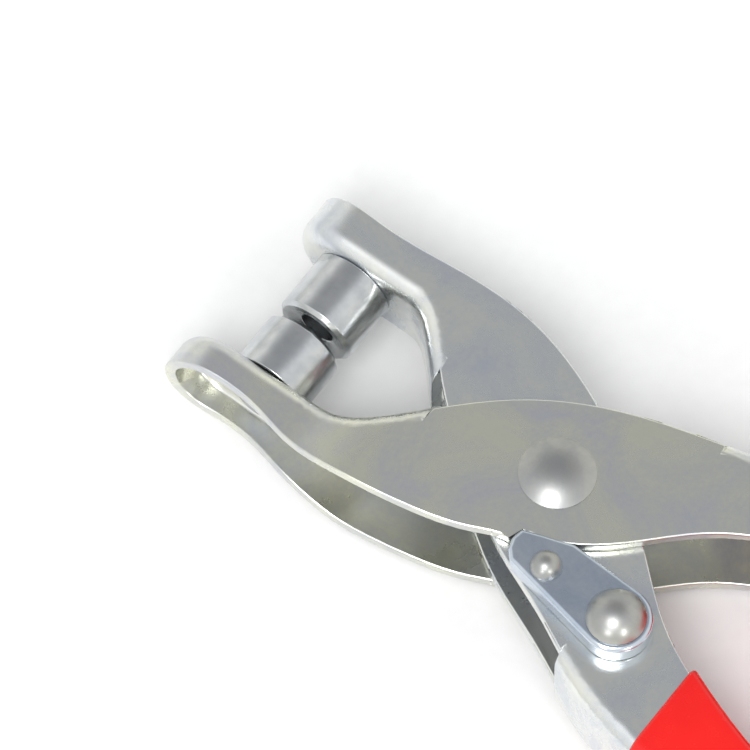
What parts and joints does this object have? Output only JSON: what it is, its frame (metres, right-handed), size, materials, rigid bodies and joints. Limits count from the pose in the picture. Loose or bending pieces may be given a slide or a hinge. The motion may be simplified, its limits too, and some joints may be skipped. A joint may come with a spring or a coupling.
{
  "type": "eyelet setting pliers",
  "caption": "Crossed pressed-steel levers with turned setting dies in the jaws, a swinging latch plate, a hidden opening spring and glossy dipped vinyl grips.",
  "frame": {"origin": "on the pivot axis, in the flat face of the main rivet's back head, which is the face the tool lies on", "axes": "+X along the tool towards the handle ends, +Y towards the upper jaw, +Z along the pivot axis towards the latch side"},
  "size_m": [0.2022, 0.0784, 0.0282],
  "materials": {
    "zinc_plated_steel": "bright zinc plate over pressed steel, slightly mottled",
    "rivet_steel": "polished zinc plate",
    "die_steel": "fine turned, nickel bright",
    "spring_wire": "drawn music wire, oiled",
    "red_vinyl": "glossy dipped soft vinyl"
  },
  "bodies": {
    "outer_side": {"outer_lever": "zinc_plated_steel", "outer_grip": "red_vinyl", "main_rivet": "rivet_steel", "pivot_bush": "zinc_plated_steel", "opening_spring": "spring_wire", "lower_die": "die_steel"},
    "inner_side": {"inner_lever": "zinc_plated_steel", "inner_grip": "red_vinyl", "upper_die": "die_steel", "latch_rivet": "rivet_steel", "latch_spacer": "zinc_plated_steel"},
    "latch": {"latch_plate": "zinc_plated_steel", "latch_stud": "rivet_steel"}
  },
  "joints": [
    {"name": "jaw_open", "type": "hinge", "parent": "outer_side", "child": "inner_side", "pos_m": [0, 0, 0.0123], "axis": [0, 0, -1], "range_deg": [-0.8, 18], "deforming": ["opening_spring"]},
    {"name": "latch_swing", "type": "hinge", "parent": "inner_side", "child": "latch", "pos_m": [0.0232, -0.0155, 0.024], "axis": [0, 0, 1], "range_deg": [0, 30]}
  ]
}
